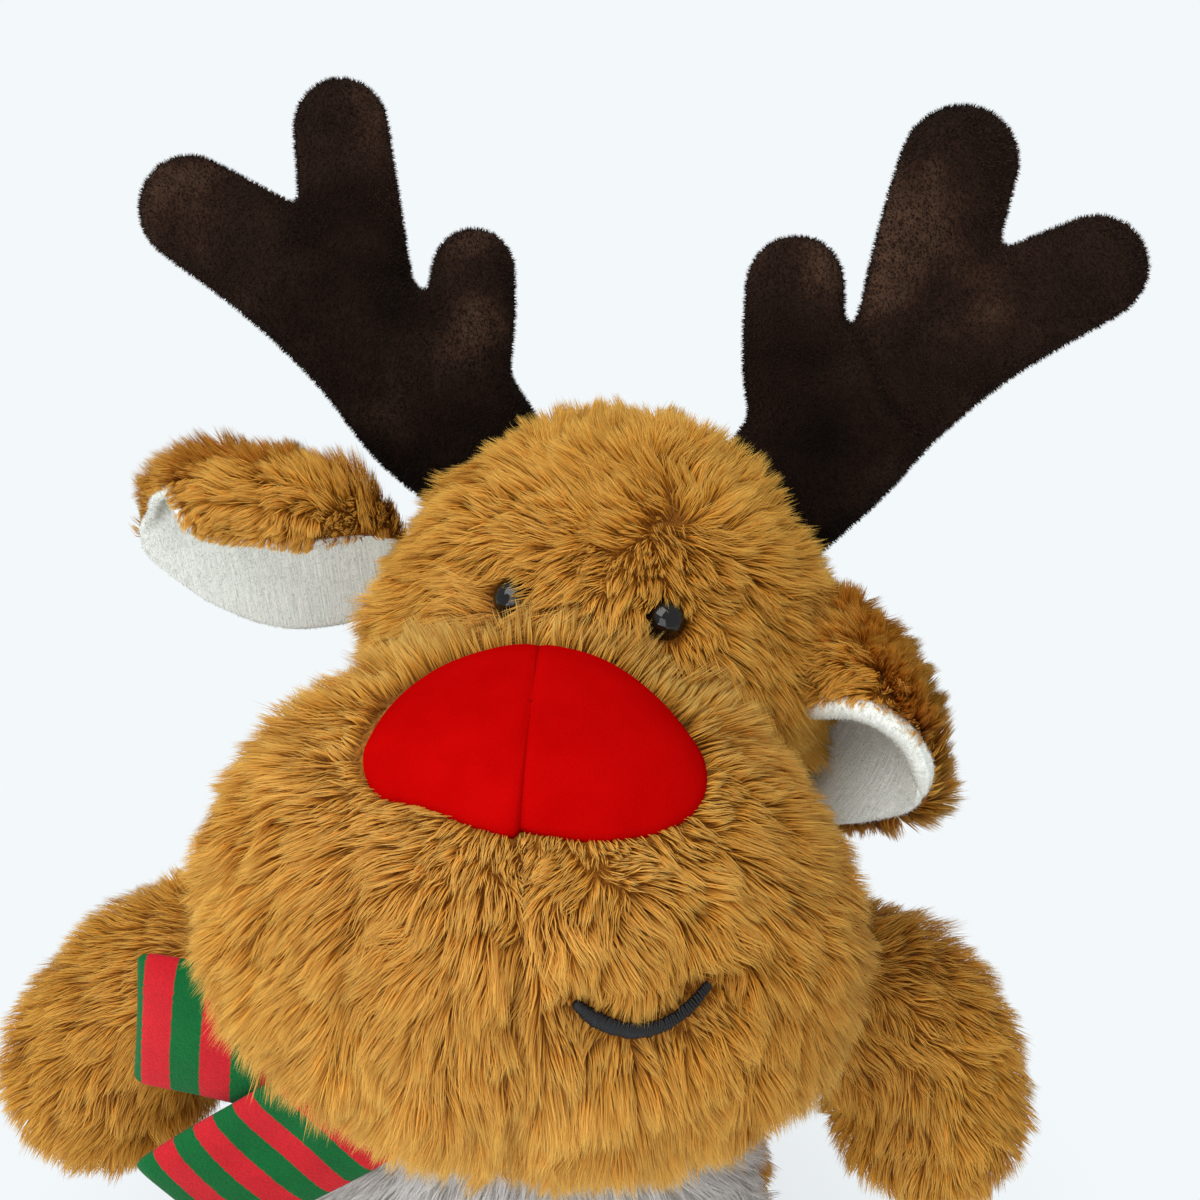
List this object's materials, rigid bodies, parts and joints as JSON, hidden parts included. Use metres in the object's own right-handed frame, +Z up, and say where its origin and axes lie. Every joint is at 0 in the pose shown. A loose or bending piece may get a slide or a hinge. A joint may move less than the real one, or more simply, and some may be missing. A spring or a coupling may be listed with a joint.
{
  "type": "plush deer",
  "caption": "Seated plush reindeer with a jowled muzzle, flat red nose, stuffed antlers, floppy ears, jointed limbs, tail and striped scarf",
  "frame": {"origin": "centre of the flat seat", "axes": "+Z up, the toy faces -Y, its own right side is at -X"},
  "size_m": [0.3548, 0.274, 0.4666],
  "materials": {
    "brown_fur": "long golden-brown pile",
    "white_fur": "long white pile",
    "cream_minky": "short smooth pile",
    "antler_minky": "short dark-brown pile",
    "nose_felt": "matt red knit",
    "mouth_thread": "satin embroidery thread",
    "eye_plastic": "gloss black",
    "washer_plastic": "plain",
    "scarf_minky": "short pile in red and green stripes",
    "filling_fibre": "polyester fibre",
    "pellet_cloth": "plain woven"
  },
  "bodies": {
    "trunk": {"belly_panel": "white_fur", "back_panel_right": "brown_fur", "back_panel_left": "brown_fur", "seat_panel": "brown_fur", "trunk_filling": "filling_fibre", "pellet_bag": "pellet_cloth", "scarf_wrap": "scarf_minky", "scarf_knot": "scarf_minky"},
    "neck": {"neck_sleeve": "brown_fur"},
    "head": {"head_panel_right": "brown_fur", "head_panel_left": "brown_fur", "muzzle_panel_right": "brown_fur", "muzzle_panel_left": "brown_fur", "nose_patch_right": "nose_felt", "nose_patch_left": "nose_felt", "mouth_stitching": "mouth_thread", "eye_right": "eye_plastic", "eye_left": "eye_plastic", "eye_washer_right": "washer_plastic", "eye_washer_left": "washer_plastic", "head_filling": "filling_fibre"},
    "antler_right": {"antler_front_right": "antler_minky", "antler_back_right": "antler_minky"},
    "antler_left": {"antler_front_left": "antler_minky", "antler_back_left": "antler_minky"},
    "ear_right": {"ear_right": "brown_fur", "ear_lining_right": "cream_minky"},
    "ear_left": {"ear_left": "brown_fur", "ear_lining_left": "cream_minky"},
    "arm_right": {"arm_right": "brown_fur"},
    "arm_left": {"arm_left": "brown_fur"},
    "leg_right": {"leg_right": "brown_fur", "sole_right": "cream_minky"},
    "leg_left": {"leg_left": "brown_fur", "sole_left": "cream_minky"},
    "tail": {"tail_upper": "brown_fur", "tail_under": "white_fur"},
    "scarf_end_upper": {"scarf_end_upper": "scarf_minky"},
    "scarf_end_lower": {"scarf_end_lower": "scarf_minky"}
  },
  "joints": [
    {"name": "head_turn", "type": "hinge", "parent": "trunk", "child": "neck", "pos_m": [0.008, -0.001, 0.237], "axis": [0, 0, 1], "range_deg": [-8, 25]},
    {"name": "head_nod", "type": "hinge", "parent": "neck", "child": "head", "pos_m": [0.008, -0.001, 0.237], "axis": [0.9974, -0.0698, 0.0175], "range_deg": [-12, 2]},
    {"name": "antler_sway_right", "type": "hinge", "parent": "head", "child": "antler_right", "pos_m": [-0.03834, 0.04488, 0.34677], "axis": [0.0712, 0.9245, -0.3745], "range_deg": [-8, 6], "stiffness_Nm_per_rad": 0.4},
    {"name": "ear_flop_right", "type": "hinge", "parent": "head", "child": "ear_right", "pos_m": [-0.06646, 0.03613, 0.31448], "axis": [0.0257, 0.9782, 0.2059], "range_deg": [-24, 10], "stiffness_Nm_per_rad": 0.08},
    {"name": "antler_sway_left", "type": "hinge", "parent": "head", "child": "antler_left", "pos_m": [0.05642, 0.03825, 0.34843], "axis": [0.0712, 0.9245, -0.3745], "range_deg": [-4, 8], "stiffness_Nm_per_rad": 0.4},
    {"name": "ear_flop_left", "type": "hinge", "parent": "head", "child": "ear_left", "pos_m": [0.08415, 0.02559, 0.31712], "axis": [0.9197, 0.3921, 0.018], "range_deg": [-30, 4], "stiffness_Nm_per_rad": 0.08},
    {"name": "arm_swing_right", "type": "hinge", "parent": "trunk", "child": "arm_right", "pos_m": [-0.062, 0.004, 0.1595], "axis": [1, 0, 0], "range_deg": [-25, 30]},
    {"name": "leg_swing_right", "type": "hinge", "parent": "trunk", "child": "leg_right", "pos_m": [-0.058, -0.0565, 0.0335], "axis": [1, 0, 0], "range_deg": [-12, 0]},
    {"name": "arm_swing_left", "type": "hinge", "parent": "trunk", "child": "arm_left", "pos_m": [0.0632, 0.006, 0.1585], "axis": [1, 0, 0], "range_deg": [-25, 30]},
    {"name": "leg_swing_left", "type": "hinge", "parent": "trunk", "child": "leg_left", "pos_m": [0.058, -0.0565, 0.0335], "axis": [1, 0, 0], "range_deg": [-12, 0]},
    {"name": "tail_wag", "type": "hinge", "parent": "trunk", "child": "tail", "pos_m": [0, 0.0703, 0.052], "axis": [1, 0, 0], "range_deg": [-10, 10], "stiffness_Nm_per_rad": 0.08},
    {"name": "scarf_end_upper_lift", "type": "hinge", "parent": "trunk", "child": "scarf_end_upper", "pos_m": [-0.046, -0.046, 0.176], "axis": [0, 1, 0], "range_deg": [-8, 8], "stiffness_Nm_per_rad": 0.08},
    {"name": "scarf_end_lower_lift", "type": "hinge", "parent": "trunk", "child": "scarf_end_lower", "pos_m": [-0.046, -0.046, 0.176], "axis": [0, 1, 0], "range_deg": [-10, 10], "stiffness_Nm_per_rad": 0.08}
  ]
}
